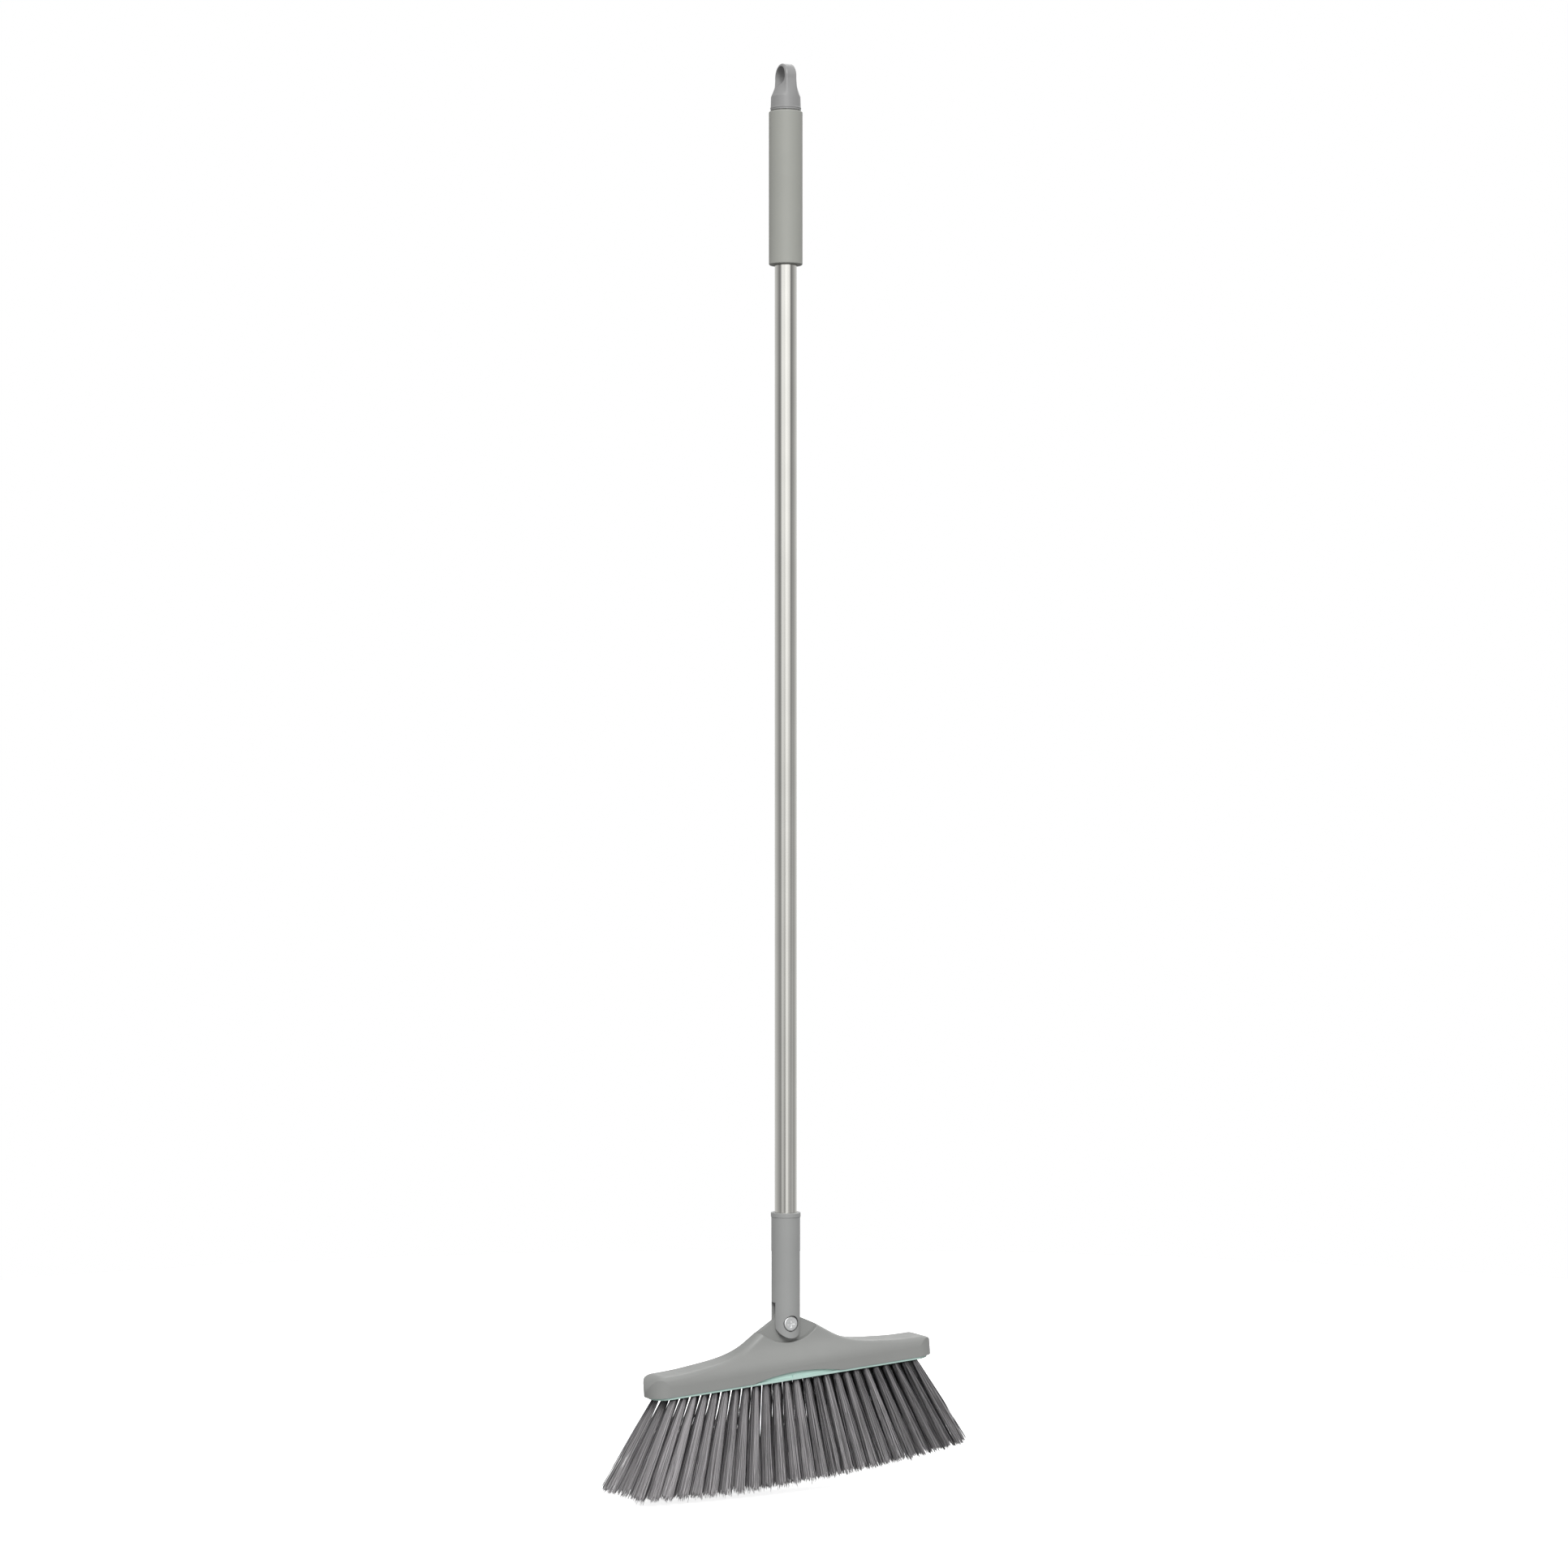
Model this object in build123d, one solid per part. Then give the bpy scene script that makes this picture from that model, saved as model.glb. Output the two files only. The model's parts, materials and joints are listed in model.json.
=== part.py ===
from build123d import *
import math
import os

# Swivel-head broom: a steel tube handle with a hanging cap and a grip at the top, and a
# brush head that tilts side to side about a bolt in the fork at the bottom.
# Millimetres, +Z up the handle, +X along the brush head, +Y to the rear.
# The origin is the centre of the hanging hole.

# --- lengths down the handle ---
CAP_DROP = 30.0
GRIP_LENGTH = 132.0
TUBE_VISIBLE = 815.0
SOCKET_RISE = 94.7

# --- fits ---
RUNNING = 0.05
SLIP = 0.05
AXIAL_PLAY = 0.1
POCKET_GAP = 0.2
DRIVE_DEPTH_SHARE = 0.6

# --- handle tube ---
TUBE_DIAMETER = 19.0
TUBE_WALL = 0.5

# --- hanging cap ---
HANG_RADIUS = 8.9
LOOP_RIM = 2.3
LOOP_THICK = 10.5
LOOP_EDGE = 1.8
NECK_DROP = 2.5
SKIRT_RISE = 12.5
CAP_STEP = 1.4
CAP_TAPER = 0.4
SEAM_GAP = 0.9
SEAM_DEPTH = 1.5
BEAD_HEIGHT = 1.6
BEAD_PROUD = 0.25
BEAD_RISE = 2.0
SPIGOT_LENGTH = 14.0

# --- cap insert, grip and lower plug ---
INSERT_WALL = 3.0
INSERT_FLANGE = 1.5
INSERT_LENGTH = 20.0
GRIP_WALL = 5.0
GRIP_EDGE = 1.2
PLUG_LENGTH = 26.0
PLUG_FLANGE = 2.0
PLUG_EDGE = 1.0

# --- fork socket ---
SOCKET_WALL = 2.9
LIP_PROUD = 0.4
LIP_HEIGHT = 4.0
LIP_EDGE = 0.5
BORE_DEPTH = 60.0
SLOT_ROOM = 6.7
EAR_SEAT = 3.7
SCREW_ABOVE_FLOOR = 14.0
SOCKET_SCREW_RADIUS = 1.9
SOCKET_SCREW_LENGTH = 9.5
SOCKET_SCREW_HEAD_RADIUS = 3.1
SOCKET_SCREW_HEAD = 1.7
SPOT_DEPTH = 0.9

# --- pivot hardware ---
BOLT_RADIUS = 3.0
BOLT_HEAD_LAP = 3.3
BOLT_HEAD = 2.2
BOLT_DOME = 0.9
BOLT_PAST_NUT = 0.5
HEAD_POCKET_GAP = 0.8
CROSS_LENGTH = 6.6
CROSS_WIDTH = 1.8
BOLT_WASHER = 0.8
NUT_WALL = 2.0
NUT_HEIGHT = 3.2
SPRING_WASHER = 0.6
SPRING_WASHER_LAP = 1.8
BUSH_WALL = 1.6
THRUST_WASHER = 0.6
THRUST_WASHER_STEP = 1.5

# --- brush head shell, measured from the pivot ---
TONGUE_THICK = 6.0
TONGUE_PROUD = -1.2
HEAD_HALF_LENGTH = 135.8
HEAD_HALF_DEPTH = 17.0
HEAD_DROP = 45.2
WING_HEIGHT = 17.5
END_ROUND = 12.5
PLAN_ROUND = 16.0
FLANK_ANGLE = 25.0
FLANK_FALLS = [(26.0, 0.266), (45.0, 0.643), (60.0, 0.822), (85.0, 0.935)]
FLANK_SLOPE = (1.0, -0.62)
SKIRT_HEIGHT = 9.0
WEDGE_SHARES = [(0.24, 0.197), (0.66, 0.349), (0.88, 0.524)]
WEDGE_SLOPES = [(0.0, 1.0), (-0.05, 1.0)]
CROWN_HALF_DEPTH = 7.0
SHELL_EDGE = 5.0
RECESS_EDGE = 0.7
RECESS_RADIUS = 39.0
RECESS_ROOM = 3.8
CAVITY_RECESS_WALL = 3.5
SHELL_WALL = 2.5
END_WALL = 5.0
RIB_THICK = 2.0
RIB_PITCH = 45.0
BOSS_RADIUS = 4.0
BOSS_BLIND = 0.8
ARCH_SPAN = 84.0
ARCH_RISE = 5.0

# --- bristle block ---
BLOCK_DEPTH = 7.8
BLOCK_FLANGE = 2.2
BLOCK_LAP = 1.4
BLOCK_GAP = 0.3
BLOCK_EDGE = 0.5
LUG_WIDTH = 9.0
LUG_HEIGHT = 2.2
LUG_PROUD = 1.5
BLOCK_SCREW_INSET = 11.0
BLOCK_SCREW_RADIUS = 1.45
BLOCK_SCREW_LENGTH = 10.0
BLOCK_SCREW_HEAD_RADIUS = 2.8
BLOCK_SCREW_HEAD = 1.6
BLOCK_SCREW_SINK = 5.0

# --- bristles ---
TUFT_PITCH = 9.6
END_MARGIN = 3.0
ROW_MARGIN = 4.5
ROW_SHORTFALLS = [2, 3, 2, 1]
TUFT_RADIUS = 2.4
TUFT_TIP_RADIUS = 4.2
TUFT_GAP = 0.1
LEFT_TUFT = 90.5
MIDDLE_TUFT = 86.5
RIGHT_TUFT = 85.0
TUFT_SEAT = 6.0
LEFT_FLARE = 33.0
RIGHT_FLARE = 26.0
ROW_SPLAY = 8.0
STAPLE_LENGTH = 4.4
STAPLE_WIDTH = 1.6
STAPLE_THICK = 0.4

# --- pose ---
HEAD_TILT = 4.5

# --- sizes that follow from the ones above ---
SEAM_Z = -CAP_DROP
GRIP_BOTTOM_Z = SEAM_Z - GRIP_LENGTH
SOCKET_TOP_Z = GRIP_BOTTOM_Z - TUBE_VISIBLE
PIVOT_Z = SOCKET_TOP_Z - SOCKET_RISE
LOOP_RADIUS = HANG_RADIUS + LOOP_RIM
TUBE_RADIUS = TUBE_DIAMETER / 2
TUBE_BORE_RADIUS = TUBE_RADIUS - TUBE_WALL
SPIGOT_RADIUS = TUBE_BORE_RADIUS - INSERT_WALL
GRIP_RADIUS = TUBE_RADIUS + GRIP_WALL
CAP_BASE_RADIUS = GRIP_RADIUS - CAP_STEP
SOCKET_RADIUS = TUBE_RADIUS + SOCKET_WALL
TUBE_TOP_Z = SEAM_Z - INSERT_FLANGE
SOCKET_FLOOR_Z = SOCKET_TOP_Z - BORE_DEPTH
TUBE_BOTTOM_Z = SOCKET_FLOOR_Z + PLUG_FLANGE
SLOT_WIDTH = TONGUE_THICK + 2 * (THRUST_WASHER + AXIAL_PLAY)
SEAT_OFFSET = SLOT_WIDTH / 2 + EAR_SEAT
BOLT_HOLE_RADIUS = BOLT_RADIUS + SLIP
BOLT_HEAD_RADIUS = BOLT_RADIUS + BOLT_HEAD_LAP
NUT_FLATS = 2 * (BOLT_RADIUS + NUT_WALL)
SPRING_WASHER_RADIUS = BOLT_RADIUS + SPRING_WASHER_LAP
BUSH_RADIUS = BOLT_RADIUS + BUSH_WALL
THRUST_WASHER_RADIUS = SOCKET_RADIUS - THRUST_WASHER_STEP
SOCKET_SCREW_RISE = SOCKET_RISE - BORE_DEPTH + SCREW_ABOVE_FLOOR
TONGUE_RADIUS = SOCKET_RADIUS + TONGUE_PROUD
SLOT_RISE = TONGUE_RADIUS + SLOT_ROOM
RECESS_FLOOR = SOCKET_RADIUS + RECESS_ROOM
HEAD_SEAT_Y = -SEAT_OFFSET - BOLT_WASHER
NUT_SEAT_Y = SEAT_OFFSET + SPRING_WASHER
HEAD_POCKET_RADIUS = BOLT_HEAD_RADIUS + HEAD_POCKET_GAP
SPOT_Y = SOCKET_RADIUS - SPOT_DEPTH
CAVITY_TOP = -RECESS_FLOOR - CAVITY_RECESS_WALL
FLANGE_BOTTOM = -HEAD_DROP - BLOCK_FLANGE
BLOCK_TOP = BLOCK_DEPTH - HEAD_DROP
SCREW_SEAT = FLANGE_BOTTOM + BLOCK_SCREW_SINK
TUFT_HOLE_RADIUS = TUFT_RADIUS + TUFT_GAP
TUFT_DEPTH = TUFT_SEAT + STAPLE_WIDTH
LIP_HALF_LENGTH = HEAD_HALF_LENGTH - END_WALL + BLOCK_LAP
LIP_HALF_DEPTH = HEAD_HALF_DEPTH - SHELL_WALL + BLOCK_LAP
SCREW_PLACE = HEAD_HALF_LENGTH - BLOCK_SCREW_INSET
SCREW_PLACES = [-SCREW_PLACE, SCREW_PLACE]
RIB_COUNT = int(SCREW_PLACE / RIB_PITCH)
RIB_PLACES = [side * RIB_PITCH * (i + 1) for i in range(RIB_COUNT) for side in (-1, 1)]
HALF_COUNT = int((LIP_HALF_LENGTH - END_MARGIN) / TUFT_PITCH)
ROW_SPAN = LIP_HALF_DEPTH - ROW_MARGIN
TUFT_SPAN = TUFT_PITCH * HALF_COUNT
ROW_STEP = 2 * ROW_SPAN / (len(ROW_SHORTFALLS) - 1)
TUFT_ROWS = [
    (i * ROW_STEP - ROW_SPAN, 2 * HALF_COUNT + 1 - fewer) for i, fewer in enumerate(ROW_SHORTFALLS)
]
PILOT_TOP = SCREW_SEAT + BLOCK_SCREW_LENGTH + BOSS_BLIND
ON_BASE = (Align.CENTER, Align.CENTER, Align.MIN)
UNDER_TOP = (Align.CENTER, Align.CENTER, Align.MAX)


def rod(radius, z_low, z_high):
    """Upright cylinder on the Z axis between two heights."""
    return Pos(0, 0, z_low) * extrude(Circle(radius), z_high - z_low)


def cross_rod(radius, y_front, y_back):
    """Cylinder along Y through the pivot centre."""
    plane = Plane(origin=(0, y_front, 0), x_dir=(1, 0, 0), z_dir=(0, 1, 0))
    return extrude(plane * Circle(radius), y_back - y_front)


def cross_prism(sketch, half_depth):
    """Sketch in the XZ plane made equally thick to front and rear."""
    return Pos(0, half_depth, 0) * extrude(Plane.XZ * sketch, 2 * half_depth)


def ring(outer, inner, y_front, y_back):
    """Flat washer or sleeve along Y."""
    return cross_rod(outer, y_front, y_back) - cross_rod(inner, y_front, y_back)


def at_pivot(shape):
    """Place a shape drawn about the pivot on the handle."""
    return Pos(0, 0, PIVOT_Z) * shape


def on_head(shape):
    """Place a shape drawn about the pivot on the tilted brush head."""
    return Pos(0, 0, PIVOT_Z) * Rot(0, -HEAD_TILT, 0) * shape


# --- handle ---

def hang_loop():
    """Flat strap round the hanging hole, with rounded outer edges."""
    half = LOOP_THICK / 2
    top = Plane.YZ * Circle(LOOP_RADIUS)
    web = Plane.YZ * Pos(0, -NECK_DROP / 2) * Rectangle(2 * LOOP_RADIUS, NECK_DROP)
    strap = extrude(top + web, half, both=True)
    rims = strap.faces().filter_by(Axis.X).edges()
    rims = rims.filter_by(lambda edge: edge.center().Z > LOOP_EDGE - NECK_DROP)
    return fillet(rims, LOOP_EDGE)


def hang_cap():
    neck = Pos(0, 0, -NECK_DROP) * RectangleRounded(LOOP_THICK, 2 * LOOP_RADIUS, LOOP_EDGE)
    skirt_z = SEAM_Z + SKIRT_RISE
    shoulder = Pos(0, 0, skirt_z) * Circle(CAP_BASE_RADIUS - CAP_TAPER)
    cap = hang_loop() + loft(Sketch() + [shoulder, neck])
    skirt = Cone(CAP_BASE_RADIUS, CAP_BASE_RADIUS - CAP_TAPER, SKIRT_RISE, align=ON_BASE)
    bead_z = SEAM_Z + BEAD_RISE
    bead = rod(CAP_BASE_RADIUS + BEAD_PROUD, bead_z, bead_z + BEAD_HEIGHT)
    bead = fillet(bead.edges(), BEAD_HEIGHT / 2.5)
    hole = extrude(Plane.YZ * Circle(HANG_RADIUS), LOOP_THICK, both=True)
    # A shadow gap parts the cap from the grip, and the land inside it rests on the grip.
    land = rod(CAP_BASE_RADIUS - SEAM_DEPTH, SEAM_Z, SEAM_Z + SEAM_GAP)
    seam_gap = rod(CAP_BASE_RADIUS + SEAM_DEPTH, SEAM_Z, SEAM_Z + SEAM_GAP) - land
    spigot = rod(SPIGOT_RADIUS, SEAM_Z - SPIGOT_LENGTH, SEAM_Z)
    return cap + Pos(0, 0, SEAM_Z) * skirt + bead - seam_gap + spigot - hole


def cap_insert():
    body = rod(TUBE_BORE_RADIUS - SLIP, TUBE_TOP_Z - INSERT_LENGTH, TUBE_TOP_Z)
    flange = rod(TUBE_RADIUS, TUBE_TOP_Z, SEAM_Z)
    return body + flange - rod(SPIGOT_RADIUS + SLIP, TUBE_TOP_Z - INSERT_LENGTH, SEAM_Z)


def grip_sleeve():
    sleeve = rod(GRIP_RADIUS, GRIP_BOTTOM_Z, SEAM_Z)
    sleeve = fillet(sleeve.edges(), GRIP_EDGE)
    return sleeve - rod(TUBE_RADIUS + SLIP, GRIP_BOTTOM_Z, SEAM_Z)


def socket_screw_hole(radius):
    """Radial hole from the rear, at the socket screw's height above the pivot."""
    hole = cross_rod(radius, SPOT_Y - SOCKET_SCREW_LENGTH, SOCKET_RADIUS)
    return at_pivot(Pos(0, 0, SOCKET_SCREW_RISE) * hole)


def handle_tube():
    tube = rod(TUBE_RADIUS, TUBE_BOTTOM_Z, TUBE_TOP_Z) - rod(TUBE_BORE_RADIUS, TUBE_BOTTOM_Z, TUBE_TOP_Z)
    return tube - socket_screw_hole(SOCKET_SCREW_RADIUS + SLIP)


def lower_plug():
    body = rod(TUBE_BORE_RADIUS - SLIP, TUBE_BOTTOM_Z, TUBE_BOTTOM_Z + PLUG_LENGTH)
    body = chamfer(body.edges().group_by(Axis.Z)[-1], PLUG_EDGE)
    flange = rod(TUBE_RADIUS, SOCKET_FLOOR_Z, TUBE_BOTTOM_Z)
    return body + flange - socket_screw_hole(SOCKET_SCREW_RADIUS + SLIP)


def fork_socket():
    body = cross_prism(Circle(SOCKET_RADIUS), SOCKET_RADIUS)
    shank = cross_prism(Pos(0, SOCKET_RISE / 2) * Rectangle(2 * SOCKET_RADIUS, SOCKET_RISE), SOCKET_RADIUS)
    body = (body + shank) & rod(SOCKET_RADIUS, -SOCKET_RADIUS, SOCKET_RISE)
    lip = rod(SOCKET_RADIUS + LIP_PROUD, SOCKET_RISE - LIP_HEIGHT, SOCKET_RISE)
    lip = chamfer(lip.edges().group_by(Axis.Z)[0], LIP_PROUD)
    lip = fillet(lip.edges().group_by(Axis.Z)[-1], LIP_EDGE)
    body = body + lip
    slot_height = SLOT_RISE + SOCKET_RADIUS
    slot = Pos(0, 0, SLOT_RISE - slot_height / 2) * Box(3 * SOCKET_RADIUS, SLOT_WIDTH, slot_height)
    body = body - slot
    body = body - rod(TUBE_RADIUS + SLIP, SOCKET_RISE - BORE_DEPTH, SOCKET_RISE)
    body = body - cross_rod(BOLT_HOLE_RADIUS, -SOCKET_RADIUS, SOCKET_RADIUS)
    body = body - cross_rod(HEAD_POCKET_RADIUS, -SOCKET_RADIUS, -SEAT_OFFSET)
    nut_plane = Plane(origin=(0, SEAT_OFFSET, 0), x_dir=(1, 0, 0), z_dir=(0, 1, 0))
    nut_pocket = RegularPolygon(NUT_FLATS / 2 + POCKET_GAP, 6, major_radius=False)
    body = body - extrude(nut_plane * nut_pocket, SOCKET_RADIUS)
    screw = cross_rod(SOCKET_SCREW_RADIUS + SLIP, 0, SOCKET_RADIUS)
    spot = cross_rod(SOCKET_SCREW_HEAD_RADIUS + POCKET_GAP, SPOT_Y, SOCKET_RADIUS)
    return at_pivot(body - Pos(0, 0, SOCKET_SCREW_RISE) * (screw + spot))


def cross_recess(y_face, depth):
    """Cross-shaped driver recess sunk into a face that looks to the front."""
    bar = Pos(0, y_face + depth / 2, 0) * Box(CROSS_LENGTH, depth, CROSS_WIDTH)
    return bar + Rot(0, 90, 0) * bar


def socket_screw():
    head = cross_rod(SOCKET_SCREW_HEAD_RADIUS, SPOT_Y, SPOT_Y + SOCKET_SCREW_HEAD)
    head = fillet(head.edges().group_by(Axis.Y)[-1], SOCKET_SCREW_HEAD / 2)
    shank = cross_rod(SOCKET_SCREW_RADIUS, SPOT_Y - SOCKET_SCREW_LENGTH, SPOT_Y)
    drive = Box(CROSS_WIDTH, SOCKET_SCREW_HEAD, 2 * SOCKET_SCREW_RADIUS)
    drive = Pos(0, SPOT_Y + SOCKET_SCREW_HEAD, 0) * drive
    return at_pivot(Pos(0, 0, SOCKET_SCREW_RISE) * (head + shank - drive))


def pivot_bolt():
    tip_y = NUT_SEAT_Y + NUT_HEIGHT + BOLT_PAST_NUT
    head = cross_rod(BOLT_HEAD_RADIUS, HEAD_SEAT_Y - BOLT_HEAD, HEAD_SEAT_Y)
    head = fillet(head.edges().group_by(Axis.Y)[0], BOLT_DOME)
    shank = cross_rod(BOLT_RADIUS, HEAD_SEAT_Y, tip_y)
    shank = chamfer(shank.edges().group_by(Axis.Y)[-1], BOLT_PAST_NUT)
    drive = cross_recess(HEAD_SEAT_Y - BOLT_HEAD, DRIVE_DEPTH_SHARE * BOLT_HEAD)
    return at_pivot(head + shank - drive)


def bolt_washer():
    return at_pivot(ring(BOLT_HEAD_RADIUS, BOLT_HOLE_RADIUS, HEAD_SEAT_Y, -SEAT_OFFSET))


def spring_washer():
    return at_pivot(ring(SPRING_WASHER_RADIUS, BOLT_HOLE_RADIUS, SEAT_OFFSET, NUT_SEAT_Y))


def pivot_nut():
    plane = Plane(origin=(0, NUT_SEAT_Y, 0), x_dir=(1, 0, 0), z_dir=(0, 1, 0))
    nut = extrude(plane * RegularPolygon(NUT_FLATS / 2, 6, major_radius=False), NUT_HEIGHT)
    return at_pivot(nut - cross_rod(BOLT_HOLE_RADIUS, NUT_SEAT_Y, NUT_SEAT_Y + NUT_HEIGHT))


def pivot_bush():
    return at_pivot(ring(BUSH_RADIUS, BOLT_HOLE_RADIUS, -SLOT_WIDTH / 2, SLOT_WIDTH / 2))


def thrust_washer(side):
    """Washer between an ear and the tongue: side is -1 for the front, 1 for the rear."""
    near = SLOT_WIDTH / 2 - THRUST_WASHER
    washer = ring(THRUST_WASHER_RADIUS, BUSH_RADIUS + SLIP, near, SLOT_WIDTH / 2)
    return at_pivot(washer if side > 0 else mirror(washer, Plane.XZ))


# --- brush head ---

def head_outline(inset, end_inset):
    """Hill-shaped elevation: a disc at the pivot, two flanks and two round-shouldered ends."""
    end_radius = END_ROUND - inset
    end_x = HEAD_HALF_LENGTH - end_inset - end_radius
    wing_top = WING_HEIGHT - HEAD_DROP - inset
    angle = math.radians(FLANK_ANGLE)
    shoulder = (TONGUE_RADIUS * math.cos(angle), TONGUE_RADIUS * math.sin(angle) - inset)
    fall = shoulder[1] - wing_top
    flank = [shoulder] + [(x, shoulder[1] - share * fall) for x, share in FLANK_FALLS]
    right = Spline(*flank, (end_x, wing_top), tangents=[FLANK_SLOPE, (1.0, 0.0)])
    arc_end = (end_x + end_radius, wing_top - end_radius)
    right_arc = RadiusArc((end_x, wing_top), arc_end, end_radius)
    right_end = Line(arc_end, (arc_end[0], -HEAD_DROP))
    crown = ThreePointArc((-shoulder[0], shoulder[1]), (0, TONGUE_RADIUS - inset), shoulder)
    base = Line((-arc_end[0], -HEAD_DROP), (arc_end[0], -HEAD_DROP))
    sides = [right, right_arc, right_end]
    sides = sides + [mirror(side, Plane.YZ) for side in sides]
    return make_face(Curve() + sides + [crown, base])


def head_section(inset):
    """End view: an upright skirt at the base, then a wedge narrowing to the crown."""
    skirt_y = HEAD_HALF_DEPTH - inset
    skirt_top = SKIRT_HEIGHT - HEAD_DROP
    crown = (CROWN_HALF_DEPTH - inset, TONGUE_RADIUS)
    narrowing = skirt_y - crown[0]
    rise = TONGUE_RADIUS - skirt_top
    between = [(skirt_y - y * narrowing, skirt_top + z * rise) for y, z in WEDGE_SHARES]
    skirt = Line((skirt_y, -HEAD_DROP), (skirt_y, skirt_top))
    wedge = Spline((skirt_y, skirt_top), *between, crown, tangents=WEDGE_SLOPES)
    sides = [skirt, wedge, mirror(skirt, Plane.YZ), mirror(wedge, Plane.YZ)]
    top = Line((inset - CROWN_HALF_DEPTH, TONGUE_RADIUS), (CROWN_HALF_DEPTH - inset, TONGUE_RADIUS))
    base = Line((-skirt_y, -HEAD_DROP), (skirt_y, -HEAD_DROP))
    return make_face(Curve() + sides + [top, base])


def head_hill(inset, end_inset):
    """Elevation and end view of the head taken together, before its plan is rounded."""
    elevation = cross_prism(head_outline(inset, end_inset), HEAD_HALF_DEPTH)
    section = Pos(-HEAD_HALF_LENGTH, 0, 0) * extrude(Plane.YZ * head_section(inset), 2 * HEAD_HALF_LENGTH)
    return elevation & section


def head_plan(inset, end_inset):
    """Upright prism over the head's plan, with rounded corners."""
    length = 2 * (HEAD_HALF_LENGTH - end_inset)
    plan = RectangleRounded(length, 2 * (HEAD_HALF_DEPTH - inset), PLAN_ROUND - inset)
    return Pos(0, 0, -HEAD_DROP) * extrude(plan, HEAD_DROP + TONGUE_RADIUS)


def head_form(inset, end_inset):
    """Form of the shell's cavity and of the block that fills its mouth."""
    return head_hill(inset, end_inset) & head_plan(inset, end_inset)


def below(height):
    """Everything on the head under a height, as a cutting box."""
    size = 3 * HEAD_HALF_LENGTH
    return Pos(0, 0, height) * Box(size, size, size, align=UNDER_TOP)


def recess_disc(half_depth):
    """Round region about the fork in which the ears swing."""
    centre_z = RECESS_RADIUS - RECESS_FLOOR
    return Pos(0, 0, centre_z) * cross_rod(RECESS_RADIUS, -half_depth, half_depth)


def shell_outside():
    """Rounded outside of the shell, with the recess and the flat tongue that stands in it."""
    form = head_hill(0, 0)
    rims = form.edges().filter_by(GeomType.LINE, reverse=True)
    form = fillet(rims.filter_by(lambda edge: edge.center().Z > -HEAD_DROP), SHELL_EDGE)
    form = form & head_plan(0, 0)
    form = form - recess_disc(2 * HEAD_HALF_DEPTH)
    walls = form.faces().filter_by(GeomType.CYLINDER)
    walls = walls.filter_by(lambda face: abs(face.radius - RECESS_RADIUS) < SLIP)
    form = fillet(walls.edges(), RECESS_EDGE)
    tongue = cross_prism(head_outline(0, 0), TONGUE_THICK / 2) & recess_disc(HEAD_HALF_DEPTH)
    return form + tongue


def arch_tool():
    """Shallow arch through the lower edge of the shell's long walls."""
    radius = (ARCH_SPAN ** 2 / 4 + ARCH_RISE ** 2) / (2 * ARCH_RISE)
    return cross_prism(Pos(0, ARCH_RISE - HEAD_DROP - radius) * Circle(radius), 2 * HEAD_HALF_DEPTH)


def shell_inside():
    """Cavity of the shell, less its ribs and screw bosses."""
    cavity = head_form(SHELL_WALL, END_WALL) & below(CAVITY_TOP)
    ribs = [Pos(x, 0, 0) * Box(RIB_THICK, 2 * HEAD_HALF_DEPTH, HEAD_DROP) for x in RIB_PLACES]
    bosses = [Pos(x, 0, 0) * rod(BOSS_RADIUS, -HEAD_DROP, 0) for x in SCREW_PLACES]
    solid = Part() + ribs + bosses
    return cavity - (solid - below(BLOCK_TOP))


def head_shell():
    shell = shell_outside() - shell_inside() - arch_tool()
    shell = shell - cross_rod(BUSH_RADIUS + RUNNING, -TONGUE_THICK, TONGUE_THICK)
    for x in SCREW_PLACES:
        shell = shell - Pos(x, 0, 0) * rod(BLOCK_SCREW_RADIUS + SLIP, -HEAD_DROP, PILOT_TOP)
    return on_head(shell)


def tuft_frame(x, y, drop):
    """Place and lean of one tuft, at a distance along it from the block's lower face."""
    lean = (RIGHT_FLARE if x > 0 else LEFT_FLARE) * x / TUFT_SPAN
    splay = ROW_SPLAY * y / ROW_SPAN
    return Pos(x, y, FLANGE_BOTTOM) * Rot(splay, -lean, 0) * Pos(0, 0, -drop)


def tuft_length(x):
    """Free length of a tuft, trimmed longer towards the left end of the head."""
    end_length = RIGHT_TUFT if x > 0 else LEFT_TUFT
    return MIDDLE_TUFT + (end_length - MIDDLE_TUFT) * abs(x) / TUFT_SPAN


def row_places(count):
    return [(i - (count - 1) / 2) * TUFT_PITCH for i in range(count)]


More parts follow.
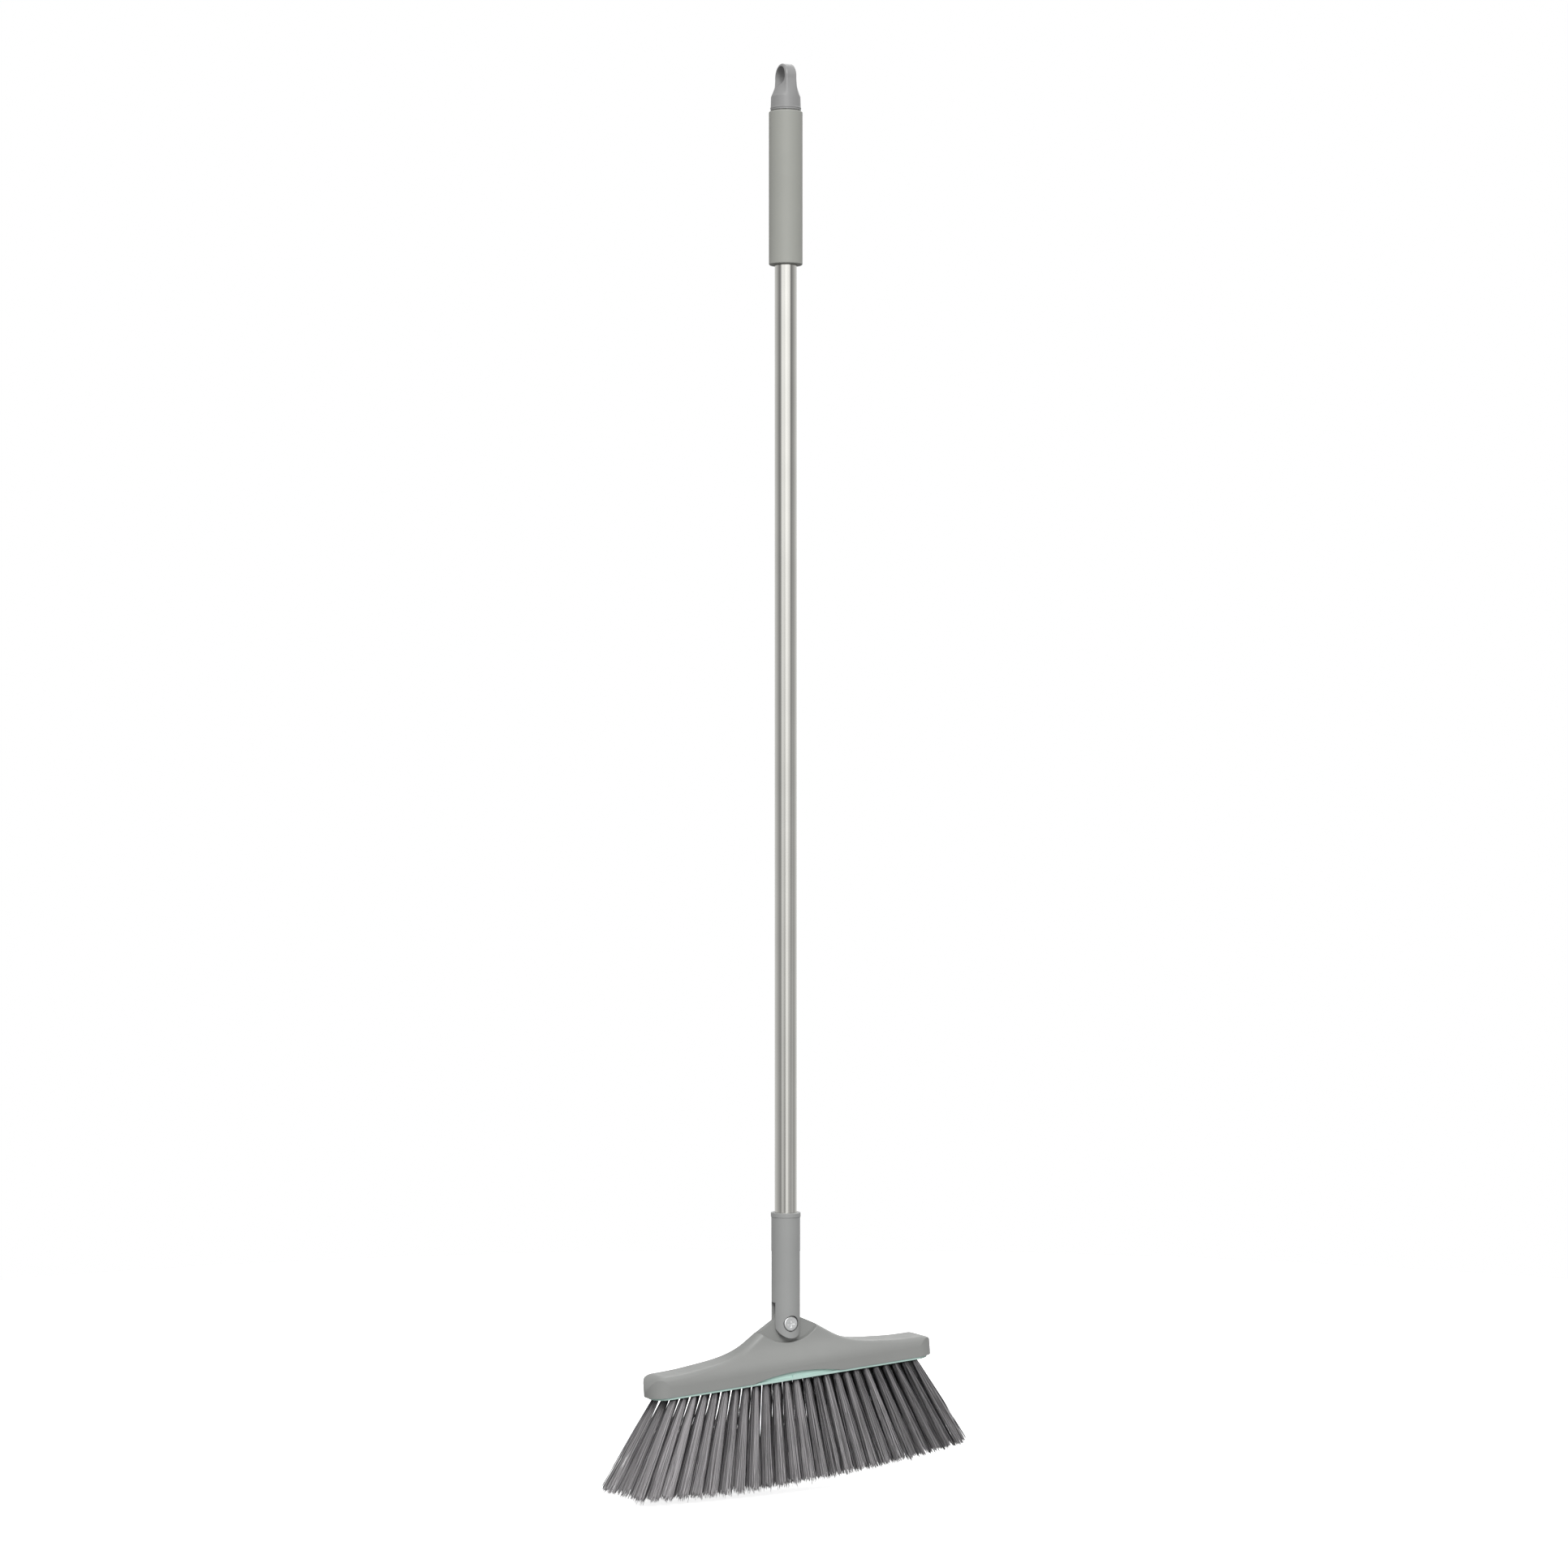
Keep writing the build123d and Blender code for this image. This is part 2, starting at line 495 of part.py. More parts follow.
def bristle_block():
    body = head_form(SHELL_WALL + BLOCK_GAP, END_WALL + BLOCK_GAP) & below(BLOCK_TOP)
    lip_corner = PLAN_ROUND - SHELL_WALL + BLOCK_LAP
    lip = RectangleRounded(2 * LIP_HALF_LENGTH, 2 * LIP_HALF_DEPTH, lip_corner)
    lip = Pos(0, 0, FLANGE_BOTTOM) * extrude(lip, BLOCK_FLANGE)
    lip = fillet(lip.edges().group_by(Axis.Z)[0], BLOCK_EDGE)
    lug_y = LIP_HALF_DEPTH - BLOCK_LAP - BLOCK_GAP
    lug = Box(LUG_WIDTH, LUG_PROUD, LUG_HEIGHT, align=(Align.CENTER, Align.MIN, Align.MIN))
    lug = Pos(0, lug_y, -HEAD_DROP) * lug
    block = body + lip + lug + mirror(lug, Plane.XZ)
    for y, count in TUFT_ROWS:
        drill = rod(TUFT_HOLE_RADIUS, -TUFT_DEPTH, TUFT_DEPTH)
        block = block - [tuft_frame(x, y, 0) * drill for x in row_places(count)]
    for x in SCREW_PLACES:
        block = block - Pos(x, 0, 0) * rod(BLOCK_SCREW_RADIUS + SLIP, FLANGE_BOTTOM, BLOCK_TOP)
        block = block - Pos(x, 0, 0) * rod(BLOCK_SCREW_HEAD_RADIUS + POCKET_GAP, FLANGE_BOTTOM, SCREW_SEAT)
    return on_head(block)


def block_screws():
    head = rod(BLOCK_SCREW_HEAD_RADIUS, SCREW_SEAT - BLOCK_SCREW_HEAD, SCREW_SEAT)
    shank = rod(BLOCK_SCREW_RADIUS, SCREW_SEAT, SCREW_SEAT + BLOCK_SCREW_LENGTH)
    drive = Box(BLOCK_SCREW_HEAD_RADIUS, CROSS_WIDTH, BLOCK_SCREW_HEAD)
    screw = head + shank - Pos(0, 0, SCREW_SEAT - BLOCK_SCREW_HEAD) * drive
    return on_head(Compound(children=[Pos(x, 0, 0) * screw for x in SCREW_PLACES]))


def tuft(length):
    brush = Cone(TUFT_TIP_RADIUS, TUFT_RADIUS, length, align=UNDER_TOP)
    return brush + rod(TUFT_RADIUS, 0, TUFT_SEAT)


def tuft_row(y, count):
    tufts = [tuft_frame(x, y, 0) * tuft(tuft_length(x)) for x in row_places(count)]
    return on_head(Compound(children=tufts))


def staple_row(y, count):
    staple = Box(STAPLE_LENGTH, STAPLE_THICK, STAPLE_WIDTH, align=ON_BASE)
    return on_head(Compound(children=[tuft_frame(x, y, -TUFT_SEAT) * staple for x in row_places(count)]))


# --- files ---

PARTS = {
    "hang_cap": hang_cap(),
    "cap_insert": cap_insert(),
    "grip_sleeve": grip_sleeve(),
    "handle_tube": handle_tube(),
    "lower_plug": lower_plug(),
    "fork_socket": fork_socket(),
    "socket_screw": socket_screw(),
    "pivot_bolt": pivot_bolt(),
    "bolt_washer": bolt_washer(),
    "spring_washer": spring_washer(),
    "pivot_nut": pivot_nut(),
    "pivot_bush": pivot_bush(),
    "thrust_washer_front": thrust_washer(-1),
    "thrust_washer_rear": thrust_washer(1),
    "head_shell": head_shell(),
    "bristle_block": bristle_block(),
    "block_screws": block_screws(),
}

for number, (row_y, row_count) in enumerate(TUFT_ROWS, start=1):
    PARTS[f"tufts_row_{number}"] = tuft_row(row_y, row_count)
    PARTS[f"staples_row_{number}"] = staple_row(row_y, row_count)

os.makedirs("parts", exist_ok=True)
for name, shape in PARTS.items():
    export_step(shape, f"parts/{name}.step")
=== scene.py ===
import json
import math

import bmesh
import bpy
import numpy as np
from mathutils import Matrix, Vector


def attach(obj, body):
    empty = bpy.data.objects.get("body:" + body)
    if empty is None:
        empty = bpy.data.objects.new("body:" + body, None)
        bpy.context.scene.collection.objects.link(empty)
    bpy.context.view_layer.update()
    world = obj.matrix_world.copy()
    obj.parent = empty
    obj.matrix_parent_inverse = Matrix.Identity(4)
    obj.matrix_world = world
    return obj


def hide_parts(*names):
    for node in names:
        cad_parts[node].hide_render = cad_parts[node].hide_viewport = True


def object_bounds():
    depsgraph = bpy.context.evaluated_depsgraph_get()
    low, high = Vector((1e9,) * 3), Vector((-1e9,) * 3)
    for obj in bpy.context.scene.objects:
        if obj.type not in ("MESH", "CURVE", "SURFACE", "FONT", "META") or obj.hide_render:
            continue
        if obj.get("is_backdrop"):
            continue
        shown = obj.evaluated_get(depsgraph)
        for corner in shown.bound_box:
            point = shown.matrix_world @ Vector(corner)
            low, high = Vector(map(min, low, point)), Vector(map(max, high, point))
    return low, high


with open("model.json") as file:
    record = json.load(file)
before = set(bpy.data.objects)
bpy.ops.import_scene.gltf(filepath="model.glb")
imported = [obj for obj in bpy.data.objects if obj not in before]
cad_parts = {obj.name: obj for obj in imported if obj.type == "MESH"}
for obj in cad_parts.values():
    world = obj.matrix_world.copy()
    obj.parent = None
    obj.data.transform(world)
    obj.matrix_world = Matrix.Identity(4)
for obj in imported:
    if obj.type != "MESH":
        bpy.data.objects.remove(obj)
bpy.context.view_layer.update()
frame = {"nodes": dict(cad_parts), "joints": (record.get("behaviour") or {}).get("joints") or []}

bl_info = {
    "name": "Swivel-head broom",
    "version": (1, 0, 0),
    "blender": (4, 5, 0),
    "location": "3D View > Sidebar > Broom",
    "description": "Finishes, bristles and studio for a swivel-head broom",
    "category": "Object",
}

NODES = frame["nodes"]
HEAD_BODY = "brush_head"
MM = 0.001
ABS_IOR = 1.53
NYLON_IOR = 1.53
POLYESTER_IOR = 1.57

# --- studio, about the vertical line of the handle ---
VIEW_AZIMUTH = -26.5          # degrees, 0 looks along +Y
CAMERA_DISTANCE = 3.3
CAMERA_ABOVE_PIVOT = 0.4632
CAMERA_LEFT = 0.00147
CAMERA_LENS = 88.03
CAMERA_SENSOR = 36.0
KEY_TURN = 4.0                # degrees from the camera, to its left negative
KEY_RISE = 36.0               # degrees above the horizon
KEY_SOFTNESS = 26.0           # degrees across, as seen from the broom
FILL_TURN = 160.0
FILL_RISE = 40.0
FILL_SOFTNESS = 50.0
LIGHT_DISTANCE = 3.0
PIVOT = Vector(frame["joints"][0]["pos_m"])

# Heights in the studio as the upward part of a direction, each pair where one band melts into
# the next: between the two rounds below, up to the ceiling, and down to the ground.
BANK_FROM, BANK_TO = -0.107, 0.127
CEILING_FROM, CEILING_TO = 0.17, 0.34
GROUND_FROM, GROUND_TO = -0.13, -0.24
ROUND_PEAK = 2.0              # the ramps hold values up to 1, so brightness is stored as a share of it

# --- bristles ---
DRAW_SEED = 71
MERGE_DISTANCE = 0.01 * MM
END_BAND = 0.5 * MM           # points this near a tuft's end belong to that end
STRAND_STEPS = (0.12, 0.22, 0.22, 0.22, 0.205, 0.015)
STRAND_TAPER = 0.45           # width of the split tip
GOLDEN_ANGLE = 2.39996        # spreads the strands evenly over a round tuft
TUFT_SEAT = 6.0 * MM          # length of a tuft inside its hole
STRAND_SINK = 2.5 * MM        # how far into the hole a strand is drawn
TIP_CROWN = 0.8 * MM          # how much shorter a tuft's outer strands are
STRAGGLERS = 0.03             # share of strands that stand past the trimmed tips
BOW = 0.6 * MM
FLARE_POWER = 0.76            # below 1 a tuft opens early on its way down
CRIMP_WAVES = 7.0             # radians along a strand

# Brightness round the studio at the height of the light bank, by angle from the camera, to the
# right of it positive: a wide bank in front, dark flags beside it, pale walls behind.
UPPER_ROUND = [
    (-180, 0.85), (-136, 0.80), (-117, 0.72), (-102, 0.62), (-90, 0.49), (-78, 0.35), (-67, 0.26),
    (-58, 0.30), (-49, 0.66), (-40, 1.25), (-30, 1.36), (-13, 1.26), (3, 1.62), (20, 1.40),
    (37, 1.34), (47, 0.84), (55, 0.30), (66, 0.24), (76, 0.40), (87, 0.46), (100, 0.57),
    (114, 0.74), (131, 0.80), (160, 0.88), (180, 0.88),
]
# The same below the light bank, where only a narrow strip stays bright.
LOWER_ROUND = [
    (-180, 0.84), (-136, 0.80), (-117, 0.72), (-102, 0.66), (-90, 0.55), (-78, 0.50), (-68, 0.44),
    (-58, 0.34), (-49, 0.40), (-40, 0.64), (-31, 0.76), (-22, 0.58), (-14, 0.36), (-5, 0.44),
    (3, 0.92), (12, 1.26), (20, 1.02), (29, 0.66), (38, 0.54), (56, 0.48), (66, 0.58), (76, 0.66),
    (87, 0.48), (100, 0.42), (114, 0.62), (131, 0.76), (160, 0.90), (180, 0.90),
]


def linear(code):
    """Turn an sRGB hex colour into linear red, green and blue."""
    parts = [int(code[i:i + 2], 16) / 255 for i in (1, 3, 5)]
    return tuple(c / 12.92 if c <= 0.04045 else ((c + 0.055) / 1.055) ** 2.4 for c in parts)


def add_node(tree, kind, sockets=None, **settings):
    """Add a node with its settings, and set or link its sockets."""
    node = tree.nodes.new(kind)
    for name, value in settings.items():
        setattr(node, name, value)
    for name, value in (sockets or {}).items():
        if isinstance(value, bpy.types.NodeSocket):
            tree.links.new(value, node.inputs[name])
        else:
            node.inputs[name].default_value = value
    return node


def set_stops(ramp, stops):
    """Give a colour ramp its stops, as (position, linear colour)."""
    elements = ramp.color_ramp.elements
    while len(elements) < len(stops):
        elements.new(1.0)
    for element, (position, colour) in zip(elements, stops):
        element.position = position
        element.color = (*colour, 1.0)


def shaded(colour, factor):
    return tuple(min(1.0, c * factor) for c in colour)


def per(size_mm):
    """Noise scale that makes features of about that many millimetres."""
    return 1.0 / (size_mm * MM)


def new_surface(name):
    """Start a material and return it with its tree, its shader and its object coordinates."""
    material = bpy.data.materials.new(name)
    material.use_nodes = True
    tree = material.node_tree
    place = add_node(tree, "ShaderNodeTexCoord").outputs["Object"]
    return material, tree, tree.nodes["Principled BSDF"], place


def wear_in(node_names, material):
    """Give a material to every slot of some CAD nodes."""
    for name in node_names:
        slots = NODES[name].material_slots
        if not slots:
            NODES[name].data.materials.append(material)
        for index in range(len(slots)):
            slots[index].material = material


def moulded_plastic(name, colour, roughness, ior, grain_mm, relief_mm, mottle):
    """Injection-moulded plastic: cloudy pigment, flow marks in the gloss and a fine etched grain."""
    material, tree, shader, place = new_surface(name)
    cloud = add_node(tree, "ShaderNodeTexNoise", {"Vector": place, "Scale": per(38), "Detail": 5.0})
    pigment = add_node(tree, "ShaderNodeValToRGB", {"Fac": cloud.outputs["Fac"]})
    set_stops(pigment, [(0.30, shaded(colour, 1 - mottle)), (0.70, shaded(colour, 1 + mottle))])
    flow = add_node(tree, "ShaderNodeTexNoise", {"Vector": place, "Scale": per(9), "Detail": 3.0})
    gloss = add_node(tree, "ShaderNodeMapRange", {
        "Value": flow.outputs["Fac"], "From Min": 0.3, "From Max": 0.7,
        "To Min": roughness - 0.05, "To Max": roughness + 0.06})
    grain = add_node(tree, "ShaderNodeTexNoise", {
        "Vector": place, "Scale": per(grain_mm), "Detail": 2.0})
    etched = add_node(tree, "ShaderNodeBump", {
        "Height": grain.outputs["Fac"], "Distance": relief_mm * MM, "Strength": 0.6})
    shader.inputs["IOR"].default_value = ior
    tree.links.new(pigment.outputs["Color"], shader.inputs["Base Color"])
    tree.links.new(gloss.outputs["Result"], shader.inputs["Roughness"])
    tree.links.new(etched.outputs["Normal"], shader.inputs["Normal"])
    return material


def plated_metal(name, colour, roughness, mark_mm, relief_mm):
    """Plated or rolled metal: faint stains in the colour, uneven gloss and shallow tool marks."""
    material, tree, shader, place = new_surface(name)
    stain = add_node(tree, "ShaderNodeTexNoise", {"Vector": place, "Scale": per(2.5), "Detail": 4.0})
    film = add_node(tree, "ShaderNodeValToRGB", {"Fac": stain.outputs["Fac"]})
    set_stops(film, [(0.32, shaded(colour, 0.93)), (0.68, shaded(colour, 1.05))])
    marks = add_node(tree, "ShaderNodeTexNoise", {"Vector": place, "Scale": per(mark_mm), "Detail": 3.0})
    gloss = add_node(tree, "ShaderNodeMapRange", {
        "Value": marks.outputs["Fac"], "From Min": 0.3, "From Max": 0.7,
        "To Min": roughness * 0.8, "To Max": roughness * 1.3})
    tooled = add_node(tree, "ShaderNodeBump", {
        "Height": marks.outputs["Fac"], "Distance": relief_mm * MM, "Strength": 0.5})
    shader.inputs["Metallic"].default_value = 1.0
    tree.links.new(film.outputs["Color"], shader.inputs["Base Color"])
    tree.links.new(gloss.outputs["Result"], shader.inputs["Roughness"])
    tree.links.new(tooled.outputs["Normal"], shader.inputs["Normal"])
    return material


def drawn_steel(name, colour, roughness):
    """Drawn and polished stainless tube: long faint drawing lines, and a trace of handling film."""
    material, tree, shader, place = new_surface(name)
    along = add_node(tree, "ShaderNodeMapping", {"Vector": place, "Scale": (1.0, 1.0, 0.004)})
    lines = add_node(tree, "ShaderNodeTexNoise", {
        "Vector": along.outputs["Vector"], "Scale": per(0.7), "Detail": 3.0})
    film = add_node(tree, "ShaderNodeTexNoise", {"Vector": place, "Scale": per(45), "Detail": 4.0})
    tint = add_node(tree, "ShaderNodeValToRGB", {"Fac": film.outputs["Fac"]})
    set_stops(tint, [(0.30, shaded(colour, 0.97)), (0.70, shaded(colour, 1.03))])
    gloss = add_node(tree, "ShaderNodeMapRange", {
        "Value": lines.outputs["Fac"], "From Min": 0.3, "From Max": 0.7,
        "To Min": roughness * 0.85, "To Max": roughness * 1.25})
    drawn = add_node(tree, "ShaderNodeBump", {
        "Height": lines.outputs["Fac"], "Distance": 0.002 * MM, "Strength": 0.5})
    shader.inputs["Metallic"].default_value = 1.0
    tree.links.new(tint.outputs["Color"], shader.inputs["Base Color"])
    tree.links.new(gloss.outputs["Result"], shader.inputs["Roughness"])
    tree.links.new(drawn.outputs["Normal"], shader.inputs["Normal"])
    return material


def bristle_fibre(name, dark, light, roughness):
    """Extruded polyester filament: each strand has its own shade, paler where it frays at the tip; its
    tone attribute also carries painted light and shade.
    """
    material, tree, shader, _ = new_surface(name)
    tone_and_painted_shade = add_node(tree, "ShaderNodeAttribute", attribute_name="tone_and_painted_shade")
    shade = add_node(tree, "ShaderNodeValToRGB", {"Fac": tone_and_painted_shade.outputs["Fac"]})
    set_stops(shade, [(0.0, dark), (1.0, light)])
    shader.inputs["Roughness"].default_value = roughness
    shader.inputs["IOR"].default_value = POLYESTER_IOR
    tree.links.new(shade.outputs["Color"], shader.inputs["Base Color"])
    return material


def colour_property(name, description, code):
    return bpy.props.FloatVectorProperty(
        name=name, description=description, subtype="COLOR", size=3, min=0.0, max=1.0,
        default=linear(code))


class BroomFinishes(bpy.types.PropertyGroup):
    """Colours of the broom's finishes."""
    shell: colour_property("Head shell", "Grey ABS of the brush head", "#8d8e8c")
    socket: colour_property("Fork socket", "Grey ABS of the fork socket", "#979897")
    cap: colour_property("Hanging cap", "Grey ABS of the hanging cap", "#939393")
    grip: colour_property("Grip", "Pale grey soft-touch rubber of the grip", "#a0a19b")
    steel: colour_property("Tube steel", "Polished stainless tube", "#cfcec9")
    block: colour_property("Bristle block", "Mint polypropylene of the block", "#b8d2ca")
    plating: colour_property("Screw plating", "Nickel plate of bolt and screws", "#f6f7f7")
    zinc: colour_property("Zinc plating", "Zinc plate of washers and nut", "#b4b8bb")
    brass: colour_property("Brass", "Sintered brass of the bush", "#c2a15a")
    nylon: colour_property("Natural nylon", "Undyed nylon of the inner pieces", "#d9d5c6")
    # Its darkest end also serves as the painted shade at the tufts' sides and in their holes.
    fibre_dark_and_shaded: colour_property("Darkest bristles", "Shade of the darkest strands", "#222024")
    fibre_light: colour_property("Lightest bristles", "Shade of the lightest strands", "#d2cfd1")


class BroomBristles(bpy.types.PropertyGroup):
    """How the tufts of bristles are made."""
    strands: bpy.props.IntProperty(
        name="Strands in a tuft", description="Filaments in each tuft", default=120, min=10, max=200)
    radius: bpy.props.FloatProperty(
        name="Strand radius", description="Radius of one filament", subtype="DISTANCE",
        unit="LENGTH", default=0.22 * MM)
    root_spread: bpy.props.FloatProperty(
        name="Root radius", description="Radius of a tuft at its hole", subtype="DISTANCE",
        unit="LENGTH", default=2.3 * MM)
    tip_spread: bpy.props.FloatProperty(
        name="Tip radius", description="Radius of a tuft at its tip", subtype="DISTANCE",
        unit="LENGTH", default=6.6 * MM)
    raggedness: bpy.props.FloatProperty(
        name="Raggedness", description="Spread of the strands' lengths", subtype="DISTANCE",
        unit="LENGTH", default=1.5 * MM)
    crimp: bpy.props.FloatProperty(
        name="Crimp", description="Sideways wave of a strand", subtype="DISTANCE",
        unit="LENGTH", default=0.30 * MM)


class BroomStudio(bpy.types.PropertyGroup):
    """Floor and light."""
    floor_radius: bpy.props.FloatProperty(
        name="Floor radius", description="Radius of the pale floor", subtype="DISTANCE",
        unit="LENGTH", default=1.7)
    brightness: bpy.props.FloatProperty(
        name="Studio brightness", description="Strength of the studio's light", default=1.0, min=0.0)
    overhead: bpy.props.FloatProperty(
        name="Overhead brightness", description="Brightness of the studio above, in front",
        default=0.80, min=0.0)
    rear: bpy.props.FloatProperty(
        name="Rear brightness", description="Brightness of the studio above, behind",
        default=0.45, min=0.0)
    underneath: bpy.props.FloatProperty(
        name="Low brightness", description="Brightness of the studio below the floor's level",
        default=0.22, min=0.0)
    key: bpy.props.FloatProperty(
        name="Key light", description="Strength of the soft front light", default=1.9, min=0.0)
    fill: bpy.props.FloatProperty(
        name="Fill light", description="Strength of the soft rear light", default=0.9, min=0.0)


class BROOM_OT_grey_plastics(bpy.types.Operator):
    """Finish the cap, the fork socket and the head shell as moulded grey ABS."""
    bl_idname = "broom.grey_plastics"
    bl_label = "Grey plastics"

    def execute(self, context):
        look = context.scene.broom_finishes
        # ABS from an etched tool: an even, softly broken gloss. The real grain is about 0.2 mm
        # and would not show, so it is drawn some seven times coarser.
        wear_in(["head_shell"], moulded_plastic(
            "etched_ABS_shell", look.shell, roughness=0.42, ior=ABS_IOR,
            grain_mm=1.6, relief_mm=0.05, mottle=0.025))
        wear_in(["fork_socket"], moulded_plastic(
            "etched_ABS_socket", look.socket, roughness=0.42, ior=ABS_IOR,
            grain_mm=1.4, relief_mm=0.04, mottle=0.025))
        # The cap comes from a smoother tool and shows a little more sheen.
        wear_in(["hang_cap"], moulded_plastic(
            "satin_ABS_cap", look.cap, roughness=0.36, ior=ABS_IOR,
            grain_mm=1.4, relief_mm=0.03, mottle=0.02))
        return {"FINISHED"}


class BROOM_OT_grip(bpy.types.Operator):
    """Finish the grip as soft-touch thermoplastic rubber."""
    bl_idname = "broom.grip"
    bl_label = "Grip"

    def execute(self, context):
        look = context.scene.broom_finishes
        # Moulded thermoplastic rubber: matt and slightly chalky, a broad dull sheen and no sharp
        # reflection.
        wear_in(["grip_sleeve"], moulded_plastic(
            "moulded_soft_touch_TPR", look.grip, roughness=0.55, ior=1.50,
            grain_mm=1.2, relief_mm=0.04, mottle=0.02))
        return {"FINISHED"}


class BROOM_OT_tube(bpy.types.Operator):
    """Finish the handle tube as polished stainless steel."""
    bl_idname = "broom.tube"
    bl_label = "Tube"

    def execute(self, context):
        look = context.scene.broom_finishes
        # Drawn and polished stainless: long streaks of light along the tube, barely blurred.
        wear_in(["handle_tube"], drawn_steel("polished_stainless_tube", look.steel, roughness=0.11))
        return {"FINISHED"}


class BROOM_OT_hardware(bpy.types.Operator):
    """Finish the bolt, nut, washers, bush, screws, staples and inner pieces."""
    bl_idname = "broom.hardware"
    bl_label = "Hardware"

    def execute(self, context):
        look = context.scene.broom_finishes
        # Barrel-plated nickel: bright, with the satin of the tumbling.
        wear_in(["pivot_bolt", "socket_screw"], plated_metal(
            "nickel_plated_steel", look.plating, roughness=0.42, mark_mm=0.9, relief_mm=0.01))
        # Zinc plate over rolled steel: bluish, duller and a little blotchy.
        wear_in(["bolt_washer", "spring_washer", "pivot_nut", "block_screws"], plated_metal(
            "zinc_plated_steel", look.zinc, roughness=0.34, mark_mm=0.8, relief_mm=0.02))
        # Pressed and sintered brass: fine pores take the edge off the gloss.
        wear_in(["pivot_bush"], plated_metal(
            "sintered_brass", look.brass, roughness=0.36, mark_mm=0.5, relief_mm=0.02))
        # Galvanised wire: grey, with a crystalline bloom.
        wear_in([name for name in NODES if name.startswith("staples")], plated_metal(
            "galvanised_wire", look.zinc, roughness=0.40, mark_mm=0.6, relief_mm=0.02))
        # Undyed moulded nylon: ivory, waxy and faintly cloudy.
        wear_in(["cap_insert", "lower_plug", "thrust_washer_front", "thrust_washer_rear"],
                moulded_plastic("moulded_natural_nylon", look.nylon, roughness=0.45, ior=NYLON_IOR,
                                grain_mm=1.2, relief_mm=0.03, mottle=0.03))
        return {"FINISHED"}


class BROOM_OT_block(bpy.types.Operator):
    """Finish the bristle block as moulded mint polypropylene."""
    bl_idname = "broom.block"
    bl_label = "Bristle block"

    def execute(self, context):
        look = context.scene.broom_finishes
        # Moulded polypropylene is waxy: a soft gloss and a slightly cloudy colour.
        wear_in(["bristle_block"], moulded_plastic(
            "moulded_polypropylene_mint", look.block, roughness=0.38, ior=1.49,
            grain_mm=1.5, relief_mm=0.03, mottle=0.02))
        return {"FINISHED"}


def make_strand():
    """Model one strand, root at the origin and tip one unit down, of unit radius."""
    bpy.ops.object.select_all(action="DESELECT")
    bpy.ops.mesh.primitive_circle_add(vertices=3, radius=1.0, fill_type="NGON")
    bpy.ops.object.mode_set(mode="EDIT")
    bpy.ops.mesh.select_all(action="SELECT")
    for step in STRAND_STEPS:
        bpy.ops.mesh.extrude_region_move(TRANSFORM_OT_translate={"value": (0.0, 0.0, -step)})
    bpy.ops.transform.resize(value=(STRAND_TAPER, STRAND_TAPER, 1.0))
    bpy.ops.mesh.select_all(action="SELECT")
    bpy.ops.mesh.normals_make_consistent(inside=False)
    bpy.ops.object.mode_set(mode="OBJECT")
    strand = bpy.context.object
    mesh = strand.data
    points = np.array([vertex.co for vertex in mesh.vertices])
    faces = [list(face.vertices) for face in mesh.polygons]
    bpy.data.objects.remove(strand)
    bpy.data.meshes.remove(mesh)
    return points, faces


def tuft_axes(node_name):
    """Find the hole mouth and the tip centre of every tuft in a CAD row."""
    merged = bmesh.new()
    merged.from_mesh(NODES[node_name].data)
    bmesh.ops.remove_doubles(merged, verts=merged.verts, dist=MERGE_DISTANCE)
    waiting = set(merged.verts)
    axes = []
    while waiting:
        reached = [waiting.pop()]
        island = []
        while reached:
            vertex = reached.pop()
            island.append(vertex.co.copy())
            for edge in vertex.link_edges:
                other = edge.other_vert(vertex)
                if other in waiting:
                    waiting.remove(other)
                    reached.append(other)
        points = np.array(island)
        centre = points.mean(axis=0)
        direction = np.linalg.svd(points - centre)[2][0]
        direction = direction if direction[2] < 0 else -direction
        reach = (points - centre) @ direction
        tip = points[reach > reach.max() - END_BAND].mean(axis=0)
        root = points[reach < reach.min() + END_BAND].mean(axis=0)
        axes.append((root, tip))
    merged.free()
    return sorted(axes, key=lambda pair: pair[0][0])


def unit_circle(angle):
    return np.stack([np.cos(angle), np.sin(angle)], axis=1)


